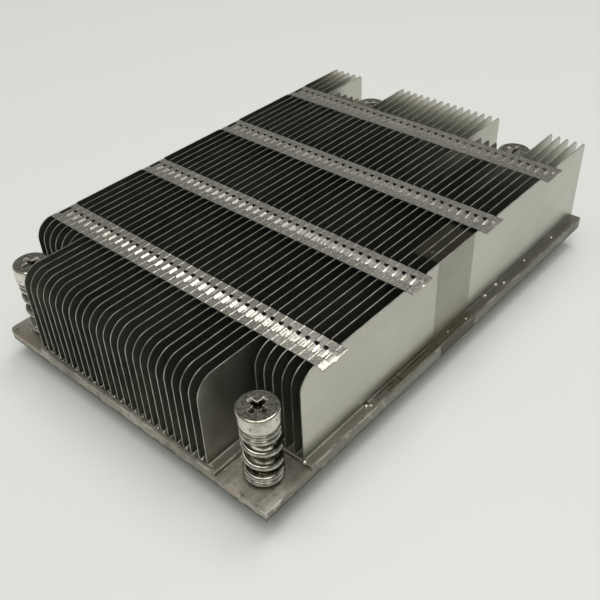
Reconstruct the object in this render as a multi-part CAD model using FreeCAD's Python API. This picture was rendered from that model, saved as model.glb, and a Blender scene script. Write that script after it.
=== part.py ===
import FreeCAD, Part
import math
import os

# A 1U passive heatsink for a server processor: a stack of thin folded fins, zipped together by four
# rows of interlocking tabs and soldered to a metal base, held down by four captive spring screws.
# Millimetres.  X runs across the fins, Y along them (the air flows along Y), Z is up.
# The origin is the centre of the contact face, the flat underside that sits on the processor.

# Fin stack
FIN_COUNT = 37
FIN_PITCH = 2.1
FIN_THICKNESS = 0.2
FIN_HEIGHT = 20.4
FIN_LENGTH = 115.2
FIN_FRONT_CORNER_RADIUS = 4.2
FIN_BACK_CORNER_CUT = 0.6
FOOT_GAP = 0.06          # between the foot of one fin and the next fin

# Interlocking tabs along the top edge of each fin
TAB_ROWS = 4
TAB_FIRST_ROW = 16.1     # from the front end of a fin to its first row
TAB_LAST_ROW = 14.9      # from the back end of a fin to its last row
TAB_FRONT_PAD = 2.2
TAB_BACK_PAD = 2.4
TONGUE_WIDTH = 2.0
TONGUE_RISE = 0.7        # how far before the next fold it starts to climb
TONGUE_REACH = 1.0       # how far a tongue reaches past the fold of the next fin
TONGUE_DIP = 0.3         # how far its tip hooks down into the window
WINDOW_CLEARANCE = 0.2   # round the tongue, inside the window of the next fin
WINDOW_BEHIND = 0.7      # the window stays open behind the tongue

# Base
BASE_MARGIN_X = 0.3      # base beyond the fin stack, each side
BASE_MARGIN_Y = 0.6      # base beyond the fin stack, each end
PLATE_THICKNESS = 2.9
EAR_THICKNESS = 1.9      # what is left of the plate under each spring
PLATE_LEFT_CORNER_RADIUS = 1.6
BLOCK_THICKNESS = 1.5
BLOCK_INSET = 0.6        # the contact block stands in from the edge of the plate
BLOCK_CHAMFER = 0.4

# Screw places and the notches that leave room for the screws
FRONT_SCREW_SPACING = 65.6
BACK_SCREW_SPACING = 44.2
FRONT_SCREW_INSET = 5.8  # from the front end of the fins
BACK_SCREW_INSET = 6.2   # from the back end of the fins
NOTCH_HALF_WIDTH = 6.2   # kept free of fins on each side of a screw
NOTCH_DEPTH = 11.9       # how far the fins stop short at a screw
PLATEAU_MARGIN = 0.35    # plateau left in front of a shortened fin

# Captive screw
HEAD_RADIUS = 3.95
HEAD_HEIGHT = 3.45
HEAD_EDGE = 0.4
HEAD_BELOW_FIN_TOP = 4.0
BARREL_RADIUS = 2.2
THREAD_RADIUS = 1.95
THREAD_LENGTH = 4.2
GROOVE_RADIUS = 1.6
RECESS_SPAN = 3.9
RECESS_FLOOR = 1.8
RECESS_SLOT = 0.95
RECESS_DEPTH = 2.1
BARREL_HOLE_CLEARANCE = 0.3

# Retaining clip
CLIP_THICKNESS = 0.6
CLIP_RADIUS = 3.5
CLIP_BORE_CLEARANCE = 0.05
CLIP_SIDE_CLEARANCE = 0.05
CLIP_MOUTH = 2.6

# Spring
WIRE_RADIUS = 0.6
SPRING_RADIUS = 3.8      # outside of the coil
SPRING_END_GAP = 0.05    # to the plate and to the head
SPRING_END_TURNS = 1.6   # nearly closed turns at each end
SPRING_END_PITCH = 1.2
SPRING_ACTIVE_TURNS = 2.5
SPRING_START = 84.0      # degrees round from +X to the lower end of the wire
SPRING_STEPS_PER_TURN = 9
SPRING_WIRE_SIDES = 6

# Clear film folded over the last fins and down to the base
FILM_THICKNESS = 0.12
FILM_WIDTH = 13.0
FILM_FRONT = 53.0        # from the front end of the fins
FILM_FINS = 3            # fin gaps that it spans on the top
FILM_END_DROP = 3.2      # how far it turns down over the edge of the base

# Derived places
STACK_WIDTH = FIN_COUNT * FIN_PITCH
FIN_FRONT = -FIN_LENGTH / 2
FIN_BACK = FIN_LENGTH / 2
BASE_HALF_X = STACK_WIDTH / 2 + BASE_MARGIN_X
BASE_HALF_Y = FIN_LENGTH / 2 + BASE_MARGIN_Y
PLATE_BOTTOM = BLOCK_THICKNESS
PLATEAU_Z = PLATE_BOTTOM + PLATE_THICKNESS
EAR_Z = PLATE_BOTTOM + EAR_THICKNESS
FIN_TOP = PLATEAU_Z + FIN_HEIGHT
HEAD_TOP = FIN_TOP - HEAD_BELOW_FIN_TOP
HEAD_BOTTOM = HEAD_TOP - HEAD_HEIGHT
GROOVE_TOP = PLATE_BOTTOM + CLIP_SIDE_CLEARANCE
GROOVE_BOTTOM = PLATE_BOTTOM - CLIP_THICKNESS - CLIP_SIDE_CLEARANCE
SCREW_TIP = GROOVE_BOTTOM - THREAD_LENGTH
FRONT_SCREW_Y = FIN_FRONT + FRONT_SCREW_INSET
BACK_SCREW_Y = FIN_BACK - BACK_SCREW_INSET
TAB_LENGTH = TAB_FRONT_PAD + TONGUE_WIDTH + TAB_BACK_PAD
TAB_ROW_STEP = (FIN_LENGTH - TAB_FIRST_ROW - TAB_LAST_ROW - TAB_LENGTH) / (TAB_ROWS - 1)

SCREW_PLACES = {
    "front_left": (-FRONT_SCREW_SPACING / 2, FRONT_SCREW_Y),
    "front_right": (FRONT_SCREW_SPACING / 2, FRONT_SCREW_Y),
    "back_left": (-BACK_SCREW_SPACING / 2, BACK_SCREW_Y),
    "back_right": (BACK_SCREW_SPACING / 2, BACK_SCREW_Y),
}


def box(x0, x1, y0, y1, z0, z1):
    """A box from its three pairs of limits."""
    return Part.makeBox(x1 - x0, y1 - y0, z1 - z0, FreeCAD.Vector(x0, y0, z0))


def disc(radius, x, y, z0, z1):
    """An upright cylinder."""
    return Part.makeCylinder(radius, z1 - z0, FreeCAD.Vector(x, y, z0))


def prism(points, direction):
    """A flat polygon, given by its corners in order, pulled along a direction."""
    outline = Part.makePolygon(points + [points[0]])
    return Part.Face(outline).extrude(direction)


def fin_ends(web_x):
    """Front and back end of the fin whose web stands at web_x: a fin stops short beside a screw."""
    front = FIN_FRONT
    back = FIN_BACK
    foot_x = web_x + FIN_PITCH
    inner_edge = FRONT_SCREW_SPACING / 2 - NOTCH_HALF_WIDTH
    if foot_x > inner_edge or web_x < -inner_edge:
        front += NOTCH_DEPTH
    for side in (-1, 1):
        screw_x = side * BACK_SCREW_SPACING / 2
        if web_x < screw_x + NOTCH_HALF_WIDTH and foot_x > screw_x - NOTCH_HALF_WIDTH:
            back = FIN_BACK - NOTCH_DEPTH
    return front, back


def fin_web(web_x, front, back):
    """The upright sheet of a fin: its front top corner is rounded off, its back one only eased."""
    r = FIN_FRONT_CORNER_RADIUS
    arc_centre_y = front + r
    arc_centre_z = FIN_TOP - r
    arc_mid = FreeCAD.Vector(web_x, arc_centre_y - r * math.cos(math.pi / 4),
                             arc_centre_z + r * math.sin(math.pi / 4))
    arc_start = FreeCAD.Vector(web_x, front, arc_centre_z)
    arc_end = FreeCAD.Vector(web_x, arc_centre_y, FIN_TOP)
    corner = Part.Arc(arc_start, arc_mid, arc_end).toShape()
    straight = Part.makePolygon([
        arc_end,
        FreeCAD.Vector(web_x, back - FIN_BACK_CORNER_CUT, FIN_TOP),
        FreeCAD.Vector(web_x, back, FIN_TOP - FIN_BACK_CORNER_CUT),
        FreeCAD.Vector(web_x, back, PLATEAU_Z),
        FreeCAD.Vector(web_x, front, PLATEAU_Z),
        arc_start,
    ])
    outline = Part.Wire([corner] + straight.Edges)
    return Part.Face(outline).extrude(FreeCAD.Vector(FIN_THICKNESS, 0, 0))


def tab_blank(web_x, tab_y):
    """One tab folded over from the top edge, with the window that takes the tongue of the fin before."""
    sheet_bottom = FIN_TOP - FIN_THICKNESS
    pad = box(web_x + FIN_THICKNESS, web_x + FIN_PITCH, tab_y, tab_y + TAB_LENGTH, sheet_bottom, FIN_TOP)
    tongue_y = tab_y + TAB_FRONT_PAD
    window = box(web_x + FIN_THICKNESS, web_x + TONGUE_REACH + WINDOW_CLEARANCE,
                 tongue_y - WINDOW_CLEARANCE, tongue_y + TONGUE_WIDTH + WINDOW_BEHIND,
                 sheet_bottom, FIN_TOP)
    return pad.cut(window)


def tab_tongue(web_x, tab_y):
    """The tongue of one tab: it steps up over the fold of the next fin and hooks into its window."""
    tongue_y = tab_y + TAB_FRONT_PAD
    fold_x = web_x + FIN_PITCH
    profile = [
        FreeCAD.Vector(fold_x - TONGUE_RISE, tongue_y, FIN_TOP),
        FreeCAD.Vector(fold_x + FIN_THICKNESS, tongue_y, FIN_TOP + FIN_THICKNESS),
        FreeCAD.Vector(fold_x + TONGUE_REACH, tongue_y, FIN_TOP - TONGUE_DIP),
        FreeCAD.Vector(fold_x + FIN_THICKNESS + WINDOW_CLEARANCE / 2, tongue_y, FIN_TOP),
    ]
    return prism(profile, FreeCAD.Vector(0, TONGUE_WIDTH, 0))


def fin(index):
    """One folded fin: web, foot flange and its tabs, all bent towards +X from one sheet. The last
    fin has no neighbour to hook into, so its tabs have no tongues."""
    web_x = -STACK_WIDTH / 2 + index * FIN_PITCH
    front, back = fin_ends(web_x)
    web = fin_web(web_x, front, back)
    foot = box(web_x + FIN_THICKNESS, web_x + FIN_PITCH - FOOT_GAP, front, back,
               PLATEAU_Z, PLATEAU_Z + FIN_THICKNESS)
    folds = [foot]
    for row in range(TAB_ROWS):
        tab_y = FIN_FRONT + TAB_FIRST_ROW + row * TAB_ROW_STEP
        folds.append(tab_blank(web_x, tab_y))
        if index + 1 < FIN_COUNT:
            folds.append(tab_tongue(web_x, tab_y))
    return web.fuse(folds).removeSplitter()


def screw_pockets(bottom, top):
    """The space round the four screws: open corners at the front, slots open to the back."""
    beyond = 5.0
    pockets = []
    for x, y in SCREW_PLACES.values():
        if y < 0:
            outer = math.copysign(BASE_HALF_X + beyond, x)
            inner = math.copysign(abs(x) - NOTCH_HALF_WIDTH, x)
            pockets.append(box(min(inner, outer), max(inner, outer), -BASE_HALF_Y - beyond,
                               FIN_FRONT + NOTCH_DEPTH - PLATEAU_MARGIN, bottom, top))
        else:
            pockets.append(box(x - NOTCH_HALF_WIDTH, x + NOTCH_HALF_WIDTH,
                               FIN_BACK - NOTCH_DEPTH + PLATEAU_MARGIN, BASE_HALF_Y + beyond, bottom, top))
    return pockets


def base_plate():
    """The plate that the fins are soldered to: a plateau, milled down round each screw."""
    plate = box(-BASE_HALF_X, BASE_HALF_X, -BASE_HALF_Y, BASE_HALF_Y, PLATE_BOTTOM, PLATEAU_Z)
    plate = plate.cut(screw_pockets(EAR_Z, PLATEAU_Z))
    left_corner = [
        edge for edge in plate.Edges
        if edge.BoundBox.XMax < 0.001 - BASE_HALF_X and edge.BoundBox.YMax < 0.001 - BASE_HALF_Y
    ]
    plate = plate.makeFillet(PLATE_LEFT_CORNER_RADIUS, left_corner)
    hole_radius = BARREL_RADIUS + BARREL_HOLE_CLEARANCE
    holes = [disc(hole_radius, x, y, PLATE_BOTTOM, EAR_Z) for x, y in SCREW_PLACES.values()]
    return plate.cut(holes)


def contact_block():
    """The thick block under the plate, cut away round the screws; its underside meets the processor."""
    half_x = BASE_HALF_X - BLOCK_INSET
    half_y = BASE_HALF_Y - BLOCK_INSET
    block = box(-half_x, half_x, -half_y, half_y, 0, BLOCK_THICKNESS)
    block = block.cut(screw_pockets(0, BLOCK_THICKNESS))
    underside = [edge for edge in block.Edges if edge.BoundBox.ZMax < 0.001]
    return block.makeChamfer(BLOCK_CHAMFER, underside)


def cross_recess(x, y):
    """The cross recess of a screw head: two slots that narrow towards their floor."""
    cutters = []
    for turn in (0, 90):
        slot = prism([
            FreeCAD.Vector(-RECESS_SPAN / 2, -RECESS_SLOT / 2, HEAD_TOP),
            FreeCAD.Vector(-RECESS_FLOOR / 2, -RECESS_SLOT / 2, HEAD_TOP - RECESS_DEPTH),
            FreeCAD.Vector(RECESS_FLOOR / 2, -RECESS_SLOT / 2, HEAD_TOP - RECESS_DEPTH),
            FreeCAD.Vector(RECESS_SPAN / 2, -RECESS_SLOT / 2, HEAD_TOP),
        ], FreeCAD.Vector(0, RECESS_SLOT, 0))
        slot.rotate(FreeCAD.Vector(0, 0, 0), FreeCAD.Vector(0, 0, 1), turn)
        slot.translate(FreeCAD.Vector(x, y, 0))
        cutters.append(slot)
    return cutters


def screw(x, y):
    """A captive shoulder screw: broad head, smooth barrel, clip groove and a short threaded end."""
    half = [
        (0, SCREW_TIP),
        (THREAD_RADIUS, SCREW_TIP),
        (THREAD_RADIUS, GROOVE_BOTTOM),
        (GROOVE_RADIUS, GROOVE_BOTTOM),
        (GROOVE_RADIUS, GROOVE_TOP),
        (BARREL_RADIUS, GROOVE_TOP),
        (BARREL_RADIUS, HEAD_BOTTOM),
        (HEAD_RADIUS, HEAD_BOTTOM),
        (HEAD_RADIUS, HEAD_TOP - HEAD_EDGE),
        (HEAD_RADIUS - HEAD_EDGE, HEAD_TOP),
        (0, HEAD_TOP),
    ]
    points = [FreeCAD.Vector(x + r, y, z) for r, z in half]
    section = Part.Face(Part.makePolygon(points + [points[0]]))
    turned = section.revolve(FreeCAD.Vector(x, y, 0), FreeCAD.Vector(0, 0, 1), 360)
    return turned.cut(cross_recess(x, y))


def retaining_clip(x, y):
    """The open clip that snaps into the groove of a screw and stops it under the plate."""
    top = PLATE_BOTTOM
    bottom = PLATE_BOTTOM - CLIP_THICKNESS
    outward = -1 if y < 0 else 1
    clip = disc(CLIP_RADIUS, x, y, bottom, top)
    bore_radius = GROOVE_RADIUS + CLIP_BORE_CLEARANCE
    cuts = [disc(bore_radius, x, y, bottom, top)]
    mouth_y = y + outward * 2 * CLIP_RADIUS
    cuts.append(box(x - CLIP_MOUTH / 2, x + CLIP_MOUTH / 2, min(y, mouth_y), max(y, mouth_y), bottom, top))
    return clip.cut(cuts)


def spring_height(turn, length):
    """Height of the wire's centre line after so many turns: flat end turns and a steady rise between."""
    end_rise = SPRING_END_TURNS * SPRING_END_PITCH
    active_pitch = (length - 2 * end_rise) / SPRING_ACTIVE_TURNS
    if turn < SPRING_END_TURNS:
        return turn * SPRING_END_PITCH
    if turn < SPRING_END_TURNS + SPRING_ACTIVE_TURNS:
        return end_rise + (turn - SPRING_END_TURNS) * active_pitch
    return length - (2 * SPRING_END_TURNS + SPRING_ACTIVE_TURNS - turn) * SPRING_END_PITCH


def spring(x, y):
    """A left-hand compression spring round the barrel, its wire bent in short straight runs."""
    radius = SPRING_RADIUS - WIRE_RADIUS
    bottom = EAR_Z + SPRING_END_GAP + WIRE_RADIUS
    length = HEAD_BOTTOM - SPRING_END_GAP - WIRE_RADIUS - bottom
    turns = 2 * SPRING_END_TURNS + SPRING_ACTIVE_TURNS
    steps = round(turns * SPRING_STEPS_PER_TURN)
    path = []
    for step in range(steps + 1):
        turn = turns * step / steps
        angle = math.radians(SPRING_START) - 2 * math.pi * turn
        path.append(FreeCAD.Vector(x + radius * math.cos(angle), y + radius * math.sin(angle),
                                   bottom + spring_height(turn, length)))
    across = FreeCAD.Vector(path[0].x - x, path[0].y - y, 0).normalize()
    up = FreeCAD.Vector(0, 0, 1)
    corners = []
    for side in range(SPRING_WIRE_SIDES + 1):
        angle = 2 * math.pi * side / SPRING_WIRE_SIDES
        corners.append(path[0] + across * (WIRE_RADIUS * math.cos(angle)) + up * (WIRE_RADIUS * math.sin(angle)))
    sweep = Part.BRepOffsetAPI.MakePipeShell(Part.makePolygon(path))
    sweep.setFrenetMode(True)
    sweep.setTransitionMode(1)
    sweep.add(Part.makePolygon(corners))
    sweep.build()
    sweep.makeSolid()
    return sweep.shape()


def clear_film():
    """A strip of clear film: over the tops of the last fins, down the last fin and over the base edge."""
    t = FILM_THICKNESS
    last_web_face = STACK_WIDTH / 2 - FIN_PITCH + FIN_THICKNESS
    start_x = last_web_face - FIN_THICKNESS - FILM_FINS * FIN_PITCH
    foot_top = PLATEAU_Z + FIN_THICKNESS
    foot_edge = STACK_WIDTH / 2 - FOOT_GAP
    low_z = PLATEAU_Z - FILM_END_DROP
    y = FIN_FRONT + FILM_FRONT
    inner = [
        (start_x, FIN_TOP),
        (last_web_face, FIN_TOP),
        (last_web_face, foot_top),
        (foot_edge, foot_top),
        (foot_edge, PLATEAU_Z),
        (BASE_HALF_X, PLATEAU_Z),
        (BASE_HALF_X, low_z),
    ]
    outer = [
        (BASE_HALF_X + t, low_z),
        (BASE_HALF_X + t, PLATEAU_Z + t),
        (foot_edge + t, foot_top + t),
        (last_web_face + t, foot_top + t),
        (last_web_face + t, FIN_TOP + t),
        (start_x, FIN_TOP + t),
    ]
    points = [FreeCAD.Vector(px, y, pz) for px, pz in inner + outer]
    return prism(points, FreeCAD.Vector(0, FILM_WIDTH, 0))


def save(name, shape):
    shape.exportStep("parts/" + name + ".step")


def build():
    os.makedirs("parts", exist_ok=True)
    for index in range(FIN_COUNT):
        save("fin_%02d" % (index + 1), fin(index))
    save("base_plate", base_plate())
    save("contact_block", contact_block())
    save("clear_film", clear_film())
    for place, (x, y) in SCREW_PLACES.items():
        save("screw_" + place, screw(x, y))
        save("spring_" + place, spring(x, y))
        save("retaining_clip_" + place, retaining_clip(x, y))


build()
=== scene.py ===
import math

import bmesh
import bpy
import numpy as np
from mathutils import Matrix, Vector


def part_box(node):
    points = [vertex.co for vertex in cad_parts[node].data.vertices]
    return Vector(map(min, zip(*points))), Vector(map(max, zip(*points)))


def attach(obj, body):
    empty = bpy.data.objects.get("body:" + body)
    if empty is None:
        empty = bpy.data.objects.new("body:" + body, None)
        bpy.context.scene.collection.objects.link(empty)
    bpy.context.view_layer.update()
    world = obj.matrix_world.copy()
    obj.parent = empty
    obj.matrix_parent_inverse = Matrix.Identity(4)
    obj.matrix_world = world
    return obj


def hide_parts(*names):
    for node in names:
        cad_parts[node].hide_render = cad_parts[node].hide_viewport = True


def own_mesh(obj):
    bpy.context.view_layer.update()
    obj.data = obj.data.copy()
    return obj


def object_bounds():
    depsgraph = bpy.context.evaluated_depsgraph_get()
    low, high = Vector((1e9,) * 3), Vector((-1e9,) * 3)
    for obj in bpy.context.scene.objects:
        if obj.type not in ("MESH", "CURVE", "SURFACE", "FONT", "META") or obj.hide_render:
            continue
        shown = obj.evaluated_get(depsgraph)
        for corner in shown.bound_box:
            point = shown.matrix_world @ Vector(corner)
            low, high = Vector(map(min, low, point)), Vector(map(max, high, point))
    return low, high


# A passive 1U heatsink: thin folded fins zipped together by rows of tabs, soldered to a metal base,
# with four captive spring screws. Metres; X across the fins, Y along them, Z up.

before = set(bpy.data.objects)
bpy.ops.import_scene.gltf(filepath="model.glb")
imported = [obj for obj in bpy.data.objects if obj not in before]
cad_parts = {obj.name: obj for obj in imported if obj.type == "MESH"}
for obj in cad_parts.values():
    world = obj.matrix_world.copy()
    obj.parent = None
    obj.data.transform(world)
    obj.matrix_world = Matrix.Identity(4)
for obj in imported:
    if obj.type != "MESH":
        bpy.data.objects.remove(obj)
cad_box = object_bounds()
scene = bpy.context.scene
scene.view_settings.view_transform = "Standard"

# --- Camera -----------------------------------------------------------------------------------
# Stands in front of the right corner, looks down on the part and leans a little to the left.
camera_place = Vector((0.10318, -0.11588, 0.11767))
camera_heading = 42.93
camera_elevation = 38.36
camera_lean = -2.80
lens_data = bpy.data.cameras.new("studio_camera")
lens_data.sensor_width = 36.0
lens_data.lens = 48.583
lens_data.clip_start = 0.01
lens_data.clip_end = 20.0
camera = bpy.data.objects.new("studio_camera", lens_data)
scene.collection.objects.link(camera)
camera.matrix_world = (
    Matrix.Translation(camera_place)
    @ Matrix.Rotation(math.radians(camera_heading), 4, "Z")
    @ Matrix.Rotation(math.radians(90 - camera_elevation), 4, "X")
    @ Matrix.Rotation(math.radians(camera_lean), 4, "Z")
)
scene.camera = camera

# --- Floor and light --------------------------------------------------------------------------
# A pale table top under the screw tips, which takes the part's shadow. A small lamp hangs high
# behind the part, and a wide one overhead fills from the front right.
floor_z = cad_box[0].z
floor_half = 3.0
table_colour = (0.80, 0.812, 0.795, 1)
glow_starts = 0.30
glow_full = 1.8
glow_strength = 0.62
wall_foot = 0.02
wall_top = 0.32
wall_strength = 0.62
ceiling_strength = 0.24
room_colour = (0.985, 0.99, 0.955, 1)
lamp_colour = (1.0, 0.985, 0.95)

floor_mesh = bpy.data.meshes.new("floor")
floor_mesh.from_pydata(
    [(-floor_half, -floor_half, floor_z), (floor_half, -floor_half, floor_z),
     (floor_half, floor_half, floor_z), (-floor_half, floor_half, floor_z)],
    [], [(0, 1, 2, 3)])
floor = bpy.data.objects.new("floor", floor_mesh)
scene.collection.objects.link(floor)


def new_material(name):
    """A material with its Principled shader, ready for nodes; gives material, node tree, shader."""
    material = bpy.data.materials.new(name)
    material.use_nodes = True
    tree = material.node_tree
    return material, tree, tree.nodes["Principled BSDF"]


def math_node(tree, operation, first, second=None):
    """One Math node; each operand is a number or an output."""
    node = tree.nodes.new("ShaderNodeMath")
    node.operation = operation
    for socket, value in zip(node.inputs, (first, second)):
        if isinstance(value, bpy.types.NodeSocket):
            tree.links.new(value, socket)
        elif value is not None:
            socket.default_value = value
    return node.outputs[0]


floor_material, tree, shader = new_material("pale_table")
shader.inputs["Base Color"].default_value = table_colour
shader.inputs["Roughness"].default_value = 0.45
shader.inputs["Specular IOR Level"].default_value = 0.3
shader.inputs["Emission Color"].default_value = table_colour
# Far out, where the lamps fade, the table still looks pale to the camera and in the metal. Its
# glow puts no light on dull surfaces.
spot = tree.nodes.new("ShaderNodeTexCoord")
far = tree.nodes.new("ShaderNodeVectorMath")
far.operation = "LENGTH"
fade = tree.nodes.new("ShaderNodeMapRange")
fade.interpolation_type = "SMOOTHSTEP"
fade.inputs["From Min"].default_value = glow_starts
fade.inputs["From Max"].default_value = glow_full
fade.inputs["To Max"].default_value = glow_strength
ray = tree.nodes.new("ShaderNodeLightPath")
tree.links.new(spot.outputs["Object"], far.inputs[0])
tree.links.new(far.outputs["Value"], fade.inputs["Value"])
mirrored = math_node(tree, "MAXIMUM", ray.outputs["Is Glossy Ray"],
                     ray.outputs["Is Transmission Ray"])
seen = math_node(tree, "MAXIMUM", ray.outputs["Is Camera Ray"], mirrored)
tree.links.new(math_node(tree, "MULTIPLY", fade.outputs["Result"], seen),
               shader.inputs["Emission Strength"])
floor_mesh.materials.append(floor_material)

# The room is dim overhead and pale low down, where its walls and the far table lie.
world = bpy.data.worlds.new("room")
world.use_nodes = True
scene.world = world
room = world.node_tree
direction = room.nodes.new("ShaderNodeTexCoord")
height = room.nodes.new("ShaderNodeSeparateXYZ")
wall = room.nodes.new("ShaderNodeMapRange")
wall.inputs["From Min"].default_value = wall_foot
wall.inputs["From Max"].default_value = wall_top
wall.inputs["To Min"].default_value = wall_strength
wall.inputs["To Max"].default_value = ceiling_strength
room.links.new(direction.outputs["Generated"], height.inputs["Vector"])
room.links.new(height.outputs["Z"], wall.inputs["Value"])
room.links.new(wall.outputs["Result"], room.nodes["Background"].inputs["Strength"])
room.nodes["Background"].inputs["Color"].default_value = room_colour


def area_lamp(name, place, aim, width, depth, power):
    """A soft rectangular lamp that faces the point aim."""
    lamp = bpy.data.lights.new(name, "AREA")
    lamp.shape = "RECTANGLE"
    lamp.size = width
    lamp.size_y = depth
    lamp.energy = power
    lamp.color = lamp_colour
    holder = bpy.data.objects.new(name, lamp)
    scene.collection.objects.link(holder)
    holder.location = place
    holder.rotation_mode = "QUATERNION"
    holder.rotation_quaternion = (Vector(aim) - Vector(place)).to_track_quat("-Z", "Y")


area_lamp("ceiling_lamp", (-0.07, 0.45, 1.10), (0, 0, 0), 0.45, 0.30, 2.7)
area_lamp("overhead_lamp", (0.16, -0.20, 1.20), (0, 0, 0), 1.3, 1.3, 11.2)

# --- Fins -------------------------------------------------------------------------------------
# Thirty-seven fins of thin rolled aluminium, each folded at the foot and zipped to the next one by
# four tabs along the top: a tongue of each tab climbs over the next fold and hooks into its window.


def shader_group(name, inputs, outputs):
    """An empty shader node group with named sockets; gives the group and its two end nodes."""
    group = bpy.data.node_groups.new(name, "ShaderNodeTree")
    for label, value in inputs.items():
        kind = "NodeSocketFloat"
        if not isinstance(value, float):
            kind = "NodeSocketVector" if len(value) == 3 else "NodeSocketColor"
        socket = group.interface.new_socket(name=label, in_out="INPUT", socket_type=kind)
        socket.default_value = value
    for label, kind in outputs.items():
        group.interface.new_socket(name=label, in_out="OUTPUT", socket_type=kind)
    return group, group.nodes.new("NodeGroupInput"), group.nodes.new("NodeGroupOutput")


def placed(tree, group, **values):
    """Places a node group in a material. A value is a number, a colour, or an output to link."""
    node = tree.nodes.new("ShaderNodeGroup")
    node.node_tree = group
    for label, value in values.items():
        socket = node.inputs[label]
        if isinstance(value, bpy.types.NodeSocket):
            tree.links.new(value, socket)
        else:
            socket.default_value = value
    return node.outputs


# Grain: noise fixed to the part, stretched per axis.
grain_group, ends_in, ends_out = shader_group(
    "grain", {"Scale": 60.0, "Stretch": (1.0, 1.0, 1.0), "Detail": 3.0},
    {"Value": "NodeSocketFloat"})
spot = grain_group.nodes.new("ShaderNodeTexCoord")
stretch = grain_group.nodes.new("ShaderNodeVectorMath")
stretch.operation = "MULTIPLY"
noise = grain_group.nodes.new("ShaderNodeTexNoise")
grain_group.links.new(spot.outputs["Object"], stretch.inputs[0])
grain_group.links.new(ends_in.outputs["Stretch"], stretch.inputs[1])
grain_group.links.new(stretch.outputs["Vector"], noise.inputs["Vector"])
grain_group.links.new(ends_in.outputs["Scale"], noise.inputs["Scale"])
grain_group.links.new(ends_in.outputs["Detail"], noise.inputs["Detail"])
grain_group.links.new(noise.outputs["Fac"], ends_out.inputs["Value"])


def grain(tree, scale, stretch=(1, 1, 1), detail=3.0):
    """The grain group in a material, as a mask."""
    return placed(tree, grain_group, Scale=scale, Stretch=stretch, Detail=detail)["Value"]


# Scratches: thin lines where a stretched noise crosses its middle value, kept in loose patches.
scratch_group, ends_in, ends_out = shader_group(
    "scratches", {"Scale": 90.0, "Stretch": (1.0, 1.0, 1.0), "Width": 0.012, "Cover": 0.5},
    {"Mask": "NodeSocketFloat"})
lines = grain(scratch_group, ends_in.outputs["Scale"], ends_in.outputs["Stretch"], 2.0)
patches = grain(scratch_group, 160.0, detail=2.0)
off_middle = math_node(scratch_group, "ABSOLUTE", math_node(scratch_group, "SUBTRACT", lines, 0.5))
near_line = scratch_group.nodes.new("ShaderNodeMapRange")
near_line.inputs["To Min"].default_value = 1.0
near_line.inputs["To Max"].default_value = 0.0
scratch_group.links.new(off_middle, near_line.inputs["Value"])
scratch_group.links.new(ends_in.outputs["Width"], near_line.inputs["From Max"])
in_patch = math_node(scratch_group, "LESS_THAN", patches, ends_in.outputs["Cover"])
scratch_group.links.new(math_node(scratch_group, "MULTIPLY", near_line.outputs["Result"], in_patch),
                        ends_out.inputs["Mask"])

# Tint: blends two colours as a mask runs between two limits, and gives the blend as a mask too.
tint_group, ends_in, ends_out = shader_group(
    "tint", {"Mask": 0.5, "Low": (0.4, 0.4, 0.4, 1.0), "High": (0.6, 0.6, 0.6, 1.0),
             "From": 0.35, "To": 0.65},
    {"Color": "NodeSocketColor", "Blend": "NodeSocketFloat"})
limits = tint_group.nodes.new("ShaderNodeMapRange")
limits.interpolation_type = "SMOOTHSTEP"
mix = tint_group.nodes.new("ShaderNodeMix")
mix.data_type = "RGBA"
tint_group.links.new(ends_in.outputs["Mask"], limits.inputs["Value"])
tint_group.links.new(ends_in.outputs["From"], limits.inputs["From Min"])
tint_group.links.new(ends_in.outputs["To"], limits.inputs["From Max"])
tint_group.links.new(limits.outputs["Result"], mix.inputs["Factor"])
tint_group.links.new(ends_in.outputs["Low"], mix.inputs["A"])
tint_group.links.new(ends_in.outputs["High"], mix.inputs["B"])
tint_group.links.new(mix.outputs["Result"], ends_out.inputs["Color"])
tint_group.links.new(limits.outputs["Result"], ends_out.inputs["Blend"])


def shade(tree, mask, low, high, start=0.35, end=0.65):
    """A colour that goes from low to high as the mask goes from start to end."""
    return placed(tree, tint_group, Mask=mask, Low=low, High=high, From=start, To=end)["Color"]


def blend_of(tree, mask, start, end):
    """A mask that goes from 0 to 1 as another goes from start to end."""
    return placed(tree, tint_group, Mask=mask, From=start, To=end)["Blend"]


def jittered(tree, value, noise, amount):
    """A value that a noise moves up and down: value + (noise - 0.5) * amount."""
    shift = math_node(tree, "MULTIPLY", math_node(tree, "SUBTRACT", noise, 0.5), amount)
    return math_node(tree, "ADD", value, shift)


# Patch: a blot round a centre, of a given half size per axis, with a ragged rim.
patch_group, ends_in, ends_out = shader_group(
    "patch", {"Centre": (0.0, 0.0, 0.0), "Size": (1.0, 1.0, 1.0), "Ragged": 0.6, "Scale": 900.0},
    {"Mask": "NodeSocketFloat"})
spot = patch_group.nodes.new("ShaderNodeTexCoord")
away = patch_group.nodes.new("ShaderNodeVectorMath")
away.operation = "SUBTRACT"
in_sizes = patch_group.nodes.new("ShaderNodeVectorMath")
in_sizes.operation = "DIVIDE"
reach = patch_group.nodes.new("ShaderNodeVectorMath")
reach.operation = "LENGTH"
ragged = grain(patch_group, ends_in.outputs["Scale"], detail=4.0)
patch_group.links.new(spot.outputs["Object"], away.inputs[0])
patch_group.links.new(ends_in.outputs["Centre"], away.inputs[1])
patch_group.links.new(away.outputs["Vector"], in_sizes.inputs[0])
patch_group.links.new(ends_in.outputs["Size"], in_sizes.inputs[1])
patch_group.links.new(in_sizes.outputs["Vector"], reach.inputs[0])
frayed = jittered(patch_group, reach.outputs["Value"], ragged, ends_in.outputs["Ragged"])
patch_group.links.new(blend_of(patch_group, frayed, 1.05, 0.75), ends_out.inputs["Mask"])


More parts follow.
